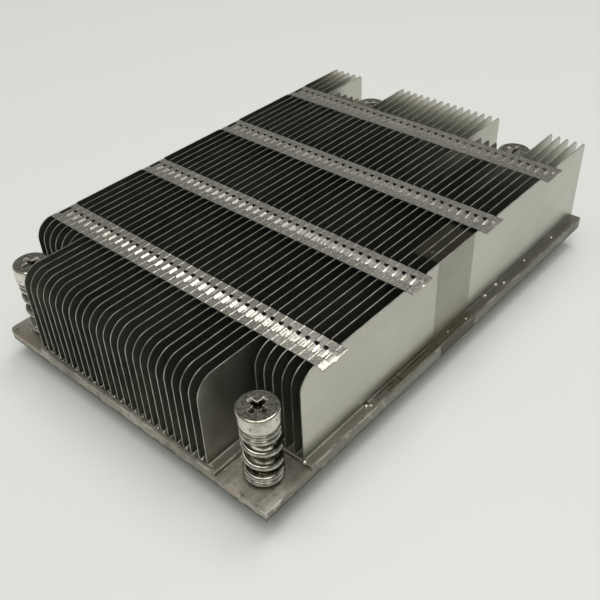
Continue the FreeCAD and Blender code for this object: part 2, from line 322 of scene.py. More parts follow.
def blot(tree, centre, size, ragged, scale=900.0):
    """The patch group in a material, as a mask."""
    return placed(tree, patch_group, Centre=centre, Size=size, Ragged=ragged, Scale=scale)["Mask"]


def height_on_part(tree):
    """The height of a point on the part, as an output."""
    spot = tree.nodes.new("ShaderNodeTexCoord")
    split = tree.nodes.new("ShaderNodeSeparateXYZ")
    tree.links.new(spot.outputs["Object"], split.inputs["Vector"])
    return split.outputs["Z"]


def new_metal(name):
    """A material as new_material makes it, of bare metal."""
    material, tree, shader = new_material(name)
    shader.inputs["Metallic"].default_value = 1.0
    return material, tree, shader


def value_between(tree, factor, low, high):
    """A number that runs from low to high as the mask runs from 0 to 1."""
    mapped = tree.nodes.new("ShaderNodeMapRange")
    mapped.inputs["To Min"].default_value = low
    mapped.inputs["To Max"].default_value = high
    tree.links.new(factor, mapped.inputs["Value"])
    return mapped.outputs["Result"]


def add_bump(tree, shader, height, strength, distance):
    """Feeds a height mask through a Bump node into the shader's normal."""
    bump = tree.nodes.new("ShaderNodeBump")
    bump.inputs["Strength"].default_value = strength
    bump.inputs["Distance"].default_value = distance
    tree.links.new(height, bump.inputs["Height"])
    tree.links.new(bump.outputs["Normal"], shader.inputs["Normal"])


# The sheet is dull silver with rolling lines along the fins and faint smudges. The tabs on top are
# mottled. The crests of their tongues carry a painted highlight, and the fins are painted darker
# towards the foot as painted shade in the crease over the base.
dull_silver = (0.49, 0.485, 0.43, 1)
pale_silver = (0.565, 0.56, 0.50, 1)
mottle_dark = (0.35, 0.34, 0.295, 1)
mottle_pale = (0.60, 0.585, 0.53, 1)
# A painted highlight for the tongue crests, and painted shade for the feet of the fins.
crest_painted_highlight = (0.88, 0.865, 0.80, 1)
foot_painted_shade = (0.34, 0.335, 0.285, 1)
tab_height = (0.02430, 0.02436)
crest_highlight_height = (0.02481, 0.02487)
foot_shade_height = (0.00425, 0.0068)
foot_shade_jitter = 0.004
fin_material, tree, shader = new_metal("rolled_fin_sheet")
height = height_on_part(tree)
smudge = grain(tree, 60.0, (1, 0.6, 1))
rolling = grain(tree, 900.0, (1, 0.04, 1))
flecks = grain(tree, 2600.0, detail=1.0)
foot_shade_ragging = grain(tree, 420.0, (1, 0.3, 1), 5.0)
plain = shade(tree, smudge, dull_silver, pale_silver)
rubbed = shade(tree, flecks, mottle_dark, mottle_pale, 0.30, 0.70)
on_tabs = blend_of(tree, height, *tab_height)
skin = shade(tree, on_tabs, plain, rubbed, 0.0, 1.0)
# Painted highlight: the crests of the tongues are coloured brighter.
skin = shade(tree, height, skin, crest_painted_highlight, *crest_highlight_height)
# Painted shade: the fins are coloured darker towards the foot, in the crease over the base.
skin = shade(tree, jittered(tree, height, foot_shade_ragging, foot_shade_jitter), foot_painted_shade, skin, *foot_shade_height)

# Baked flux on the last foot, and the dark seams where the solder has run out beside it. A seam is
# given as x, y, half width and half length.
baked_flux = (0.235, 0.20, 0.145, 1)
dark_seam = (0.07, 0.062, 0.045, 1)
foot_level = 0.0046
seams = ((0.03735, -0.0220, 0.00016, 0.0042), (0.03790, -0.0178, 0.0010, 0.00016),
         (0.03745, -0.0120, 0.00016, 0.0060), (0.03840, -0.0010, 0.00014, 0.0080),
         (0.03715, -0.0275, 0.00035, 0.0005))
flux = blot(tree, (0.0380, -0.0070, foot_level), (0.0019, 0.0180, 0.0008), 1.1)
skin = shade(tree, flux, skin, baked_flux, 0.0, 1.3)
for seam_x, seam_y, half_x, half_y in seams:
    seam = blot(tree, (seam_x, seam_y, foot_level), (half_x, half_y, 0.0006), 0.9)
    skin = shade(tree, seam, skin, dark_seam, 0.0, 1.1)
tree.links.new(skin, shader.inputs["Base Color"])
gloss = value_between(tree, smudge, 0.26, 0.40)
tree.links.new(math_node(tree, "SUBTRACT", gloss, math_node(tree, "MULTIPLY", on_tabs, 0.02)),
               shader.inputs["Roughness"])
tab_flecks = math_node(tree, "MULTIPLY", flecks, on_tabs)
add_bump(tree, shader, math_node(tree, "ADD", rolling, tab_flecks), 0.12, 0.00005)

# The cut edges of the sheet are rougher and darker than its rolled faces.
sheared_dark = (0.33, 0.335, 0.31, 1)
sheared_pale = (0.56, 0.57, 0.535, 1)
edge_material, tree, shader = new_metal("sheared_edge")
shear = grain(tree, 1200.0, (1, 0.3, 0.3))
tree.links.new(shade(tree, shear, sheared_dark, sheared_pale), shader.inputs["Base Color"])
tree.links.new(value_between(tree, shear, 0.34, 0.48), shader.inputs["Roughness"])

# Sizes of the folded sheet, its rounded corners, and its tabs with their windows and tongues.
sheet = 0.0002
pitch = 0.0021
foot_gap = 0.00006
foot_bend = 0.00035
fold_bend = 0.00030
front_round = 0.0042
back_round = 0.0009
front_reach = 0.0065
back_reach = 0.0020
lean_reach = 0.016
sway_rate = 190
sway_depth = 0.00003
hair = 1e-6
tab_rows = 4
first_row = 0.0161
last_row = 0.0149
front_pad = 0.0022
tongue_width = 0.0020
back_pad = 0.0024
tab_length = front_pad + tongue_width + back_pad
tongue_start = 0.00135
tongue_reach = 0.0031
pad_tip = 0.00214
last_pad_tip = 0.00190
fold_bead = 0.00004
fold_bead_run = 0.00014
tongue_run = np.array([0.00135, 0.00150, 0.00206, 0.00222, 0.00258, 0.00290, 0.00310])
tongue_rise = np.array([0, 0.00021, 0.00006, 0.00005, -0.00008, -0.00036, -0.00038])
window_start = 0.00012
window_end = 0.00120
window_front = 0.0002
window_behind = 0.0007
relief_cut = 0.00025
slit_width = 0.00003
tip_lip = 0.00005
tip_lip_run = 0.00018
tongue_crown = 0.00005
least_pressed = 0.52
pressed_gain = 0.40
pressed_down = 0.00004
pressed_skew = 0.17
sharp_edge = 0.6
most_lean = (0.00007, 0.00009, 1)
chance_spread = (0.00004, 0.9, 0, 0.00003)
chance_middle = (0.00009, 0, 0, -0.00003)
last_pad_steep = (0.00042, 0.00010)
steep_until = 0.0030
steep_fade = 0.0010
finger_marks = np.random.default_rng(7)


def closed_sheet(outer, normal, keep):
    """A folded sheet from a grid of outer points: the same grid moved inwards along the normals by
    the sheet's thickness, and a wall wherever a kept cell of the grid meets a missing one."""
    index = np.arange(outer.shape[0] * outer.shape[1]).reshape(outer.shape[:2])
    a, b, c, d = index[:-1, :-1], index[1:, :-1], index[1:, 1:], index[:-1, 1:]
    under = index.size
    quads = [np.stack([a, b, c, d], axis=-1)[keep], np.stack([a, d, c, b], axis=-1)[keep] + under]
    border = np.pad(keep, 1)
    for start, end, neighbour in ((a, b, border[1:-1, :-2]), (b, c, border[2:, 1:-1]),
                                  (c, d, border[1:-1, 2:]), (d, a, border[:-2, 1:-1])):
        wall = keep & ~neighbour
        quads.append(np.stack([end, start, start + under, end + under], axis=-1)[wall])
    points = np.concatenate([outer.reshape(-1, 3), (outer - sheet * normal).reshape(-1, 3)])
    is_edge = np.concatenate([np.zeros(2 * len(quads[0]), dtype=int),
                              np.ones(sum(len(part) for part in quads[2:]), dtype=int)])
    return points, np.concatenate(quads), is_edge


def web_grid(web_x, front, back, low_z, top_z, tab_starts, lean):
    """Foot flange, bend and web of one fin. Rows follow the folded outline from the tip of the foot
    up to the top edge, columns run along the fin. The end corners follow a circle: the end moves
    in by r - sqrt(r^2 - h^2) at a height h above the arc's centre. Under a tab the top edge is
    lower by the radius of its fold. The free ends lean sideways a little and the web sways in a
    low wave."""
    from_front = (0, 0.0003, 0.0008, 0.0015, 0.0025, 0.0040, front_reach, 0.0110)
    from_back = (0.0045, back_reach, 0.0010, 0.0005, 0.0002, 0)
    stations = [front + step for step in from_front] + [back - step for step in from_back]
    for start in tab_starts:
        stations += [start - relief_cut - hair, start - relief_cut,
                     start + tab_length + relief_cut, start + tab_length + relief_cut + hair]
    y = np.array(sorted(stations))
    turn = np.linspace(0, math.pi / 2, 5)[1:]
    below_top = np.array([4.2, 3.33, 2.49, 1.73, 1.25, 0.9, 0.6, 0.36, 0.18, 0.07, 0.015, 0]) / 1000
    foot_x = np.array([pitch - foot_gap, 0.0014, 0.0008, foot_bend])
    path_x = np.concatenate([foot_x, foot_bend - foot_bend * np.sin(turn),
                             np.zeros(3 + len(below_top))])
    path_z = np.concatenate([np.zeros(4), foot_bend - foot_bend * np.cos(turn),
                             [0.002, 0.006, 0.011], top_z - low_z - below_top]) + low_z
    facing_x = np.concatenate([np.zeros(4), -np.sin(turn), -np.ones(3 + len(below_top))])
    facing_z = np.concatenate([-np.ones(4), -np.cos(turn), np.zeros(3 + len(below_top))])
    z = np.repeat(path_z[:, None], len(y), axis=1)
    above_front = np.clip(z - (top_z - front_round), 0, front_round)
    above_back = np.clip(z - (top_z - back_round), 0, back_round)
    move_front = front_round - np.sqrt(front_round ** 2 - above_front ** 2)
    move_back = back_round - np.sqrt(back_round ** 2 - above_back ** 2)
    spread_y = (y[None, :] + move_front * np.clip(1 - (y - front) / front_reach, 0, 1)[None, :]
                - move_back * np.clip(1 - (back - y) / back_reach, 0, 1)[None, :])
    under_tab = np.zeros(len(y), dtype=bool)
    for start in tab_starts:
        under_tab |= ((y > start - relief_cut - hair / 2)
                      & (y < start + tab_length + relief_cut + hair / 2))
    knee = top_z - back_round
    squeezed = knee + (z - knee) * (back_round - fold_bend) / back_round
    z = np.where(under_tab[None, :] & (z > knee), squeezed, z)
    share = (z - low_z) / (top_z - low_z)
    free_front = np.clip((tab_starts[0] - y) / lean_reach, 0, 1) ** 1.5
    free_back = np.clip((y - tab_starts[-1] - tab_length) / lean_reach, 0, 1) ** 1.5
    wave = np.sin((y - front) * sway_rate + lean[2] * 9)
    sway = wave * (share * (1 - share) * 4) * sway_depth
    leaning = share * (lean[0] * free_front + lean[1] * free_back)[None, :]
    x = web_x + path_x[:, None] + leaning + sway
    outer = np.stack([x, spread_y, z], axis=-1)
    normal = np.zeros_like(outer)
    normal[..., 0] = facing_x[:, None]
    normal[..., 2] = facing_z[:, None]
    every_cell = np.ones((outer.shape[0] - 1, outer.shape[1] - 1), dtype=bool)
    return closed_sheet(outer, normal, every_cell)


def smooth_step(value):
    """Runs from 0 to 1 without corners: 3 t^2 - 2 t^3, with t held between 0 and 1."""
    t = np.clip(value, 0, 1)
    return t * t * (3 - 2 * t)


def tab_grid(web_x, start, top_z, is_last, pressed, chance):
    """One tab, rows from the fold outwards and columns along the fin. The fold is a quarter circle;
    a low bead follows it and the pad sinks a little towards its tip. Within the tongue the surface
    follows the steps of tongue_rise: it climbs, slides over the notched fold of the next fin and
    dips into its window, all scaled by pressed, because the tool bites deeper towards the last
    fin. Cells in the window, beside the tongue and past the tip of the pads are left out. chance
    holds how far the pads sink, how unevenly, how much steeper the last pad is at its front, and
    how far the tongue is off its height."""
    bend = np.linspace(0, math.pi / 2, 6)
    tip = last_pad_tip if is_last else pad_tip
    flat = np.array([0.00034, 0.00038, 0.00044, 0.0006, 0.0008, window_end, tongue_start,
                     0.00142, 0.00150, 0.00178, 0.00206, tip])
    beyond = np.array([0.00222, 0.00240, 0.00258, 0.00290, tongue_reach])
    if is_last:
        lip = [tip - tip_lip_run, tip - tip_lip_run / 2, tip]
        flat = np.concatenate([flat[flat < tip - 0.0002], lip])
        beyond = np.array([])
    x = np.concatenate([fold_bend - fold_bend * np.cos(bend), flat, beyond])
    edge_front = front_pad
    edge_back = front_pad + tongue_width
    centre_line = (edge_front + edge_back) / 2
    y = np.concatenate([[0, 0.0007, 0.0014, front_pad - window_front, edge_front - slit_width],
                        np.linspace(edge_front, edge_back, 9),
                        [edge_back + slit_width, edge_back + window_behind, 0.0056, 0.0062,
                         tab_length]])
    grid_x, grid_y = np.meshgrid(x, y, indexing="ij")
    fall = np.clip((grid_x - fold_bend) / (pitch - fold_bend), 0, 2)
    sink = chance[0] * (1 + 0.5 * chance[1] * (grid_y / tab_length - 0.5))
    grid_z = np.full_like(grid_x, top_z)
    grid_z[:6] = (top_z - fold_bend + fold_bend * np.sin(bend))[:, None]
    if is_last:
        steep = 1 - smooth_step((grid_y - steep_until) / steep_fade)
        lip_drop = tip_lip * smooth_step((grid_x - tip + tip_lip_run) / tip_lip_run)
        pad_z = grid_z - fall * (sink + chance[2] * steep) - lip_drop
    else:
        pad_z = grid_z - fall * sink
    pad_z = pad_z - ((0.5 + 0.5 * pressed) * fold_bead
                     * smooth_step((grid_x - fold_bend) / fold_bead_run))
    in_tongue = ((grid_y > edge_front - hair) & (grid_y < edge_back + hair)
                 & (grid_x > tongue_start - hair / 10))
    crown = ((grid_y - centre_line) / (tongue_width / 2)) ** 2
    rise = pressed * np.interp(grid_x, tongue_run, tongue_rise) - pressed_down * (1 - pressed)
    skew = pressed_skew * (pressed - least_pressed) * (grid_y - centre_line)
    tongue_z = (top_z - fold_bead - 0.6 * sink + rise
                + (skew + chance[3] - tongue_crown * crown) * np.clip(rise / 0.0001, 0, 1))
    z = pad_z if is_last else np.where(in_tongue, tongue_z, pad_z)
    slope = np.gradient(z[5:], x[5:], axis=0)
    normal = np.zeros(z.shape + (3,))
    normal[:6, :, 0] = -np.cos(bend)[:, None]
    normal[:6, :, 2] = np.sin(bend)[:, None]
    length = np.sqrt(1 + slope[1:] ** 2)
    normal[6:, :, 0] = -slope[1:] / length
    normal[6:, :, 2] = 1 / length
    middle_x = (x[1:] + x[:-1])[:, None] / 2
    middle_y = (y[1:] + y[:-1])[None, :] / 2
    tongue_columns = (middle_y > edge_front) & (middle_y < edge_back)
    slit = (((middle_y > edge_front - slit_width) & (middle_y < edge_front))
            | ((middle_y > edge_back) & (middle_y < edge_back + slit_width)))
    window = ((middle_x > window_start) & (middle_x < window_end)
              & (middle_y > front_pad - window_front) & (middle_y < edge_back + window_behind))
    past_tip = (middle_x > tip) & ~tongue_columns
    keep = ~window & ~past_tip
    if not is_last:
        keep &= ~(slit & (middle_x > tongue_start))
    return closed_sheet(np.stack([web_x + grid_x, start + grid_y, z], axis=-1), normal, keep)


def new_piece(name, mesh, body):
    """Puts a finished mesh into the scene as a piece that rides on a body."""
    piece = bpy.data.objects.new(name, mesh)
    scene.collection.objects.link(piece)
    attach(piece, body)
    return piece


def folded_mesh(name, shells, materials):
    """One mesh from several closed shells, each given as points, quads and the number of the
    material of each quad. Edges sharper than sharp_edge stay crisp."""
    points = np.concatenate([shell[0] for shell in shells])
    shift = np.cumsum([0] + [len(shell[0]) for shell in shells[:-1]])
    quads = np.concatenate([shell[1] + offset for shell, offset in zip(shells, shift)])
    used = np.unique(quads)
    renumber = np.zeros(len(points), dtype=int)
    renumber[used] = np.arange(len(used))
    mesh = bpy.data.meshes.new(name)
    mesh.from_pydata(points[used].tolist(), [], renumber[quads].tolist())
    mesh.polygons.foreach_set("use_smooth", np.ones(len(quads), dtype=bool))
    for material in materials:
        mesh.materials.append(material)
    mesh.polygons.foreach_set("material_index", np.concatenate([shell[2] for shell in shells]))
    mesh.update()
    mesh.set_sharp_from_angle(angle=sharp_edge)
    return mesh


fin_names = sorted(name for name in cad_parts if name.startswith("fin_"))
stack_low, stack_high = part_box(fin_names[len(fin_names) // 2])
stack_top = stack_high.z - sheet
stack_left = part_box(fin_names[0])[0].x
stack_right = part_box(fin_names[-1])[0].x
row_step = (stack_high.y - stack_low.y - first_row - last_row - tab_length) / (tab_rows - 1)
row_starts = [stack_low.y + first_row + row * row_step for row in range(tab_rows)]
for name in fin_names:
    low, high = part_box(name)
    is_last = name == fin_names[-1]
    lean = finger_marks.uniform(-1, 1, 3) * most_lean
    shells = [web_grid(low.x, low.y, high.y, low.z, stack_top, row_starts, lean)]
    for row, start in enumerate(row_starts):
        chance = finger_marks.uniform(-1, 1, 4) * chance_spread + chance_middle
        if is_last:
            chance[2] = last_pad_steep[0] if row == 0 else last_pad_steep[1]
        pressed = least_pressed + pressed_gain * (low.x - stack_left) / (stack_right - stack_left)
        shells.append(tab_grid(low.x, start, stack_top, is_last, pressed, chance))
    mesh = folded_mesh("folded_" + name, shells, (fin_material, edge_material))
    piece = new_piece("folded_" + name, mesh, "heatsink")
    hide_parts(name)

# --- Base plate -------------------------------------------------------------------------------
# The plate under the fins, milled down round each screw. Cast-looking dull grey plating with
# stains and scuffs from soldering, painted shade on its right side face and along its lower edge,
# and bright edges that are partly wear and partly painted highlight.
stain_dark = (0.27, 0.26, 0.215, 1)
stain_pale = (0.50, 0.485, 0.42, 1)
comb_line = (0.26, 0.25, 0.20, 1)
pepper_spot = (0.20, 0.19, 0.15, 1)
scuff_silver = (0.60, 0.58, 0.52, 1)
front_blush = (0.46, 0.37, 0.31, 1)
ear_blush = (0.42, 0.34, 0.28, 1)
# Painted shade for the right side face and the lower edge; a bright edge colour that is partly wear
# and partly painted highlight.
side_painted_shade = (0.225, 0.22, 0.185, 1)
lower_edge_painted_shade = (0.10, 0.096, 0.075, 1)
edge_wear_and_highlight = (0.90, 0.88, 0.82, 1)
lower_shade_height = (0.0015, 0.0024)
lower_shade_jitter = 0.0014
edge_highlight_height = (0.0022, 0.0030)

# Rounded edge: where the rounded normal of an edge leaves the flat one. Gives the mask and the
# normal.
edge_group, ends_in, ends_out = shader_group(
    "rounded_edge", {"Radius": 0.0002}, {"Mask": "NodeSocketFloat", "Normal": "NodeSocketVector"})
rounded = edge_group.nodes.new("ShaderNodeBevel")
rounded.samples = 6
flat_side = edge_group.nodes.new("ShaderNodeNewGeometry")
agreement = edge_group.nodes.new("ShaderNodeVectorMath")
agreement.operation = "DOT_PRODUCT"
edge_group.links.new(ends_in.outputs["Radius"], rounded.inputs["Radius"])
edge_group.links.new(rounded.outputs["Normal"], agreement.inputs[0])
edge_group.links.new(flat_side.outputs["Normal"], agreement.inputs[1])
edge_group.links.new(blend_of(edge_group, agreement.outputs["Value"], 0.99, 0.86),
                     ends_out.inputs["Mask"])
edge_group.links.new(rounded.outputs["Normal"], ends_out.inputs["Normal"])

plate_material, tree, shader = new_metal("plated_base")
height = height_on_part(tree)
stain = grain(tree, 70.0, detail=7.0)
speckle = grain(tree, 620.0, detail=8.0)
streaks = grain(tree, 700.0, (1.0, 0.06, 1.0))
edge_highlight_breakup = grain(tree, 190.0, detail=5.0)
scuffs = placed(tree, scratch_group, Scale=420.0, Stretch=(1.0, 0.10, 1.0), Width=0.010,
                Cover=0.47)["Mask"]
on_front = blot(tree, (0.0307, -0.0582, 0.0026), (0.0019, 0.0006, 0.0011), 1.6)
# Painted shade over the right side face of the plate.
side_shade_mask = blot(tree, (0.03915, 0.0, 0.0030), (0.00030, 0.080, 0.0040), 3.2, 460.0)
on_ear = blot(tree, (-0.0335, -0.0575, 0.0034), (0.0032, 0.0016, 0.0012), 1.4)
plating = shade(tree, stain, stain_dark, stain_pale, 0.36, 0.62)
plating = shade(tree, streaks, comb_line, plating, 0.05, 0.62)
plating = shade(tree, speckle, pepper_spot, plating, 0.26, 0.50)
plating = shade(tree, scuffs, plating, scuff_silver, 0.0, 1.0)
plating = shade(tree, on_front, plating, front_blush, 0.0, 1.6)
# Painted shade darkens the right side face.
plating = shade(tree, side_shade_mask, plating, side_painted_shade, 0.0, 1.35)
plating = shade(tree, on_ear, plating, ear_blush, 0.0, 1.6)
# Painted shade: darker along the lower edge of the plate, made ragged by the speckle.
lower_shade_line = jittered(tree, height, speckle, lower_shade_jitter)
plating = shade(tree, lower_shade_line, lower_edge_painted_shade, plating, *lower_shade_height)
# Bright edges on the upper plate: partly wear, partly painted highlight.
edge_rounding = placed(tree, edge_group, Radius=0.00034)
edge_wear_and_highlight_mask = math_node(tree, "MULTIPLY", edge_rounding["Mask"], blend_of(tree, edge_highlight_breakup, 0.47, 0.62))
edge_wear_and_highlight_mask = math_node(tree, "MULTIPLY", edge_wear_and_highlight_mask, blend_of(tree, height, *edge_highlight_height))
tree.links.new(shade(tree, edge_wear_and_highlight_mask, plating, edge_wear_and_highlight, 0.1, 0.9), shader.inputs["Base Color"])
tree.links.new(value_between(tree, stain, 0.62, 0.40), shader.inputs["Roughness"])
add_bump(tree, shader, math_node(tree, "ADD", speckle, stain), 0.35, 0.00012)
tree.links.new(edge_rounding["Normal"], shader.inputs["Normal"].links[0].from_node.inputs["Normal"])


def dress(node_name, material):
    """Gives a node that stays in view its material."""
    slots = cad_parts[node_name].data.materials
    slots.clear()
    slots.append(material)


dress("base_plate", plate_material)

# --- Solder -----------------------------------------------------------------------------------
# Small bright beads of solder that have run out on the last foot, and a crumb at the front end of
# many feet.
crust_dark = (0.46, 0.45, 0.40, 1)
crust_bright = (0.80, 0.78, 0.72, 1)
bead_rows = 7
bead_sides = 12
bead_skirt = -0.35
crumb_share = 0.7
bead_random = np.random.default_rng(11)
solder_material, tree, shader = new_metal("solder")
crust = grain(tree, 1800.0)
tree.links.new(shade(tree, crust, crust_dark, crust_bright), shader.inputs["Base Color"])
tree.links.new(value_between(tree, crust, 0.14, 0.30), shader.inputs["Roughness"])
add_bump(tree, shader, crust, 0.10, 0.00005)


def merge_doubles(mesh):
    """Makes points that lie on one another one point, so that poles and seams are closed."""
    work = bmesh.new()
    work.from_mesh(mesh)
    bmesh.ops.remove_doubles(work, verts=work.verts, dist=1e-7)
    work.to_mesh(mesh)
    work.free()
    mesh.update()


def bead_shell(x, y, z, size_x, size_y, size_z):
    """An uneven half ellipsoid on a short skirt, closed below: the radius of the half sphere is
    modulated by r = 1 + 0.12 sin(2 a + p) + 0.08 sin(3 a + q) round its axis."""
    rise = np.linspace(math.pi / 2, bead_skirt, bead_rows)
    turn = np.linspace(0, 2 * math.pi, bead_sides, endpoint=False)
    p, q = bead_random.uniform(0, 6, 2)
    swell = 1 + 0.12 * np.sin(2 * turn + p) + 0.08 * np.sin(3 * turn + q)
    ring = np.cos(rise)[:, None] * swell[None, :]
    dome = np.stack([x + size_x * ring * np.cos(turn)[None, :],
                     y + size_y * ring * np.sin(turn)[None, :],
                     z + size_z * np.repeat(np.sin(rise)[:, None], bead_sides, axis=1)], axis=-1)
    under_middle = [[x, y, z + size_z * math.sin(bead_skirt)]]
    points = np.concatenate([dome.reshape(-1, 3), under_middle])
    row, column = np.meshgrid(np.arange(bead_rows - 1), np.arange(bead_sides), indexing="ij")
    corner = row * bead_sides + column
    right = row * bead_sides + (column + 1) % bead_sides
    quads = np.stack([corner, corner + bead_sides, right + bead_sides, right], axis=-1)
    rim = (bead_rows - 1) * bead_sides + np.arange(bead_sides)
    under = np.stack([rim, np.full(bead_sides, len(points) - 1), np.roll(rim, -1)], axis=-1)
    return points, quads.reshape(-1, 4).tolist() + under.tolist()


# The beads on the last foot: x, y, and the half sizes along X, Y and Z.
last_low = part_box(fin_names[-1])[0]
flange_top = last_low.z + sheet
beads = [(0.0374, -0.0460, 0.00050, 0.00062, 0.00042), (0.0376, -0.0281, 0.00052, 0.00058, 0.00050),
         (0.0381, -0.0274, 0.00034, 0.00030, 0.00026), (0.0373, 0.0156, 0.00042, 0.00050, 0.00040),
         (0.0371, 0.0207, 0.00040, 0.00046, 0.00036), (0.0381, 0.0224, 0.00042, 0.00060, 0.00034),
         (0.0376, 0.0002, 0.00024, 0.00030, 0.00018), (0.0383, 0.0062, 0.00026, 0.00040, 0.00018),
         (0.0374, 0.0330, 0.00030, 0.00042, 0.00024), (0.0378, 0.0455, 0.00034, 0.00040, 0.00026)]
shells = [bead_shell(x, y, flange_top, *size) for x, y, *size in beads]
for name in fin_names:
    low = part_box(name)[0]
    if low.y < stack_low.y + 0.001 and bead_random.uniform() < crumb_share:
        grow = bead_random.uniform(0.6, 1.2)
        crumb_x = low.x + 0.0005 + 0.0008 * bead_random.uniform()
        shells.append(bead_shell(crumb_x, low.y + 0.00035, low.z + sheet,
                                 0.00026 * grow, 0.00030 * grow, 0.00022 * grow))
points = np.concatenate([shell[0] for shell in shells])
shift = np.cumsum([0] + [len(shell[0]) for shell in shells[:-1]])
faces = [[int(corner + offset) for corner in face]
         for shell, offset in zip(shells, shift) for face in shell[1]]
bead_mesh = bpy.data.meshes.new("solder_beads")
bead_mesh.from_pydata(points.tolist(), [], faces)
bead_mesh.polygons.foreach_set("use_smooth", np.ones(len(faces), dtype=bool))
bead_mesh.materials.append(solder_material)
merge_doubles(bead_mesh)
new_piece("solder_beads", bead_mesh, "heatsink")

# --- Contact block ----------------------------------------------------------------------------
# The heavy block under the plate that meets the processor: nickel-plated and finely milled.
milled_dark = (0.40, 0.39, 0.34, 1)
milled_pale = (0.56, 0.54, 0.48, 1)
block_material, tree, shader = new_metal("milled_block")
milling = grain(tree, 1500.0, (0.02, 1, 1))
haze = grain(tree, 30.0)
tree.links.new(shade(tree, haze, milled_dark, milled_pale), shader.inputs["Base Color"])
tree.links.new(value_between(tree, haze, 0.36, 0.26), shader.inputs["Roughness"])
add_bump(tree, shader, milling, 0.12, 0.0001)
dress("contact_block", block_material)

# --- Clear film -------------------------------------------------------------------------------
# A strip of clear film folded over the tops of the last fins, down the side and over the edge of
# the base. Thin, glossy and faintly warm.
warm_tint = (0.30, 0.285, 0.21, 1)
over_top_height = (0.02465, 0.02478)
over_top_clearer = 0.14
film_material, tree, shader = new_material("clear_film")
shader.inputs["Base Color"].default_value = warm_tint
shader.inputs["Roughness"].default_value = 0.22
shader.inputs["Specular IOR Level"].default_value = 0.35
specks = blend_of(tree, grain(tree, 700.0, detail=2.0), 0.70, 0.74)
over_top = blend_of(tree, height_on_part(tree), *over_top_height)
cover = math_node(tree, "SUBTRACT", value_between(tree, specks, 0.18, 0.45),
                  math_node(tree, "MULTIPLY", over_top, over_top_clearer))
tree.links.new(cover, shader.inputs["Alpha"])
dress("clear_film", film_material)

# --- Captive screws ---------------------------------------------------------------------------
# Nickel-plated shoulder screws with a cross recess, a smooth barrel, a groove for the clip and a
# short thread. Turned in one piece; each stands in the place of its plain solid.
places = ("front_left", "front_right", "back_left", "back_right")
head_radius = 0.00395
head_height = 0.00345
head_round = 0.00045
barrel_radius = 0.0022
groove_radius = 0.0016
thread_radius = 0.00195
thread_depth = 0.00033
thread_pitch = 0.0007
thread_end = 0.0004
recess_span = 0.0042
recess_slot = 0.0011
recess_depth = 0.0020
recess_end_slope = 0.0009
recess_wall_slope = 0.00012
recess_reach = 0.0026
fine_face = 0.0024
chamfer = 0.0001
tip_chamfer = 0.0005
turned_steps = 160
clip_gap = 0.00005


def smooth_mesh(name, points, material, recess=None):
    """A smooth mesh from a grid of points, rows by columns, each row closed on itself. Faces are
    the quads between neighbouring points, and a row that has shrunk to one point is merged."""
    rows, columns, _ = points.shape
    row, column = np.meshgrid(np.arange(rows - 1), np.arange(columns), indexing="ij")
    right = (column + 1) % columns
    quads = np.stack([row * columns + column, row * columns + right,
                      (row + 1) * columns + right, (row + 1) * columns + column], axis=-1)
    quads = quads.reshape(-1, 4)
    mesh = bpy.data.meshes.new(name)
    mesh.from_pydata(points.reshape(-1, 3).tolist(), [], quads.tolist())
    mesh.polygons.foreach_set("use_smooth", np.ones(len(quads), dtype=bool))
    mesh.materials.append(material)
    if recess is not None:
        depth_share = mesh.attributes.new("recess", "FLOAT", "POINT")
        depth_share.data.foreach_set("value", recess.ravel())
    merge_doubles(mesh)
    return mesh


def turned_profile(top, bottom, groove_top, groove_bottom, tip):
    """Radius and height down a screw: top face, rounded edge, head, shoulder, barrel, groove and
    thread, each a straight run of points, with a quarter circle at the edge of the head."""
    def run(r0, z0, r1, z1, count):
        """A straight run from one radius and height towards another, without its last point."""
        share = np.linspace(0, 1, count, endpoint=False)
        return np.stack([r0 + (r1 - r0) * share, z0 + (z1 - z0) * share], axis=-1)
    edge = np.linspace(0, math.pi / 2, 8, endpoint=False)
    rounding = np.stack([head_radius - head_round * (1 - np.sin(edge)),
                         top - head_round * (1 - np.cos(edge))], axis=-1)
    return np.concatenate([
        run(0, top, fine_face, top, 48),
        run(fine_face, top, head_radius - head_round, top, 6),
        rounding,
        run(head_radius, top - head_round, head_radius, bottom + chamfer, 4),
        run(head_radius, bottom + chamfer, head_radius - chamfer, bottom, 2),
        run(head_radius - chamfer, bottom, barrel_radius, bottom, 3),
        run(barrel_radius, bottom, barrel_radius, groove_top + chamfer, 6),
        run(barrel_radius, groove_top + chamfer, barrel_radius - chamfer, groove_top, 2),
        run(barrel_radius - chamfer, groove_top, groove_radius, groove_top, 2),
        run(groove_radius, groove_top, groove_radius, groove_bottom, 3),
        run(groove_radius, groove_bottom, thread_radius, groove_bottom, 2),
        run(thread_radius, groove_bottom, thread_radius, tip + tip_chamfer, 90),
        run(thread_radius, tip + tip_chamfer, thread_radius - tip_chamfer, tip, 3),
        run(thread_radius - tip_chamfer, tip, 0, tip, 4),
        np.array([[0.0, tip]]),
    ])


def slot_depth(along, across):
    """How deep one slot of the cross is: full at its middle, and straight slopes at its ends and
    its walls."""
    end = np.clip((recess_span / 2 - np.abs(along)) / recess_end_slope, 0, 1)
    wall = np.clip((recess_slot / 2 - np.abs(across)) / recess_wall_slope, 0, 1)
    return recess_depth * end * wall


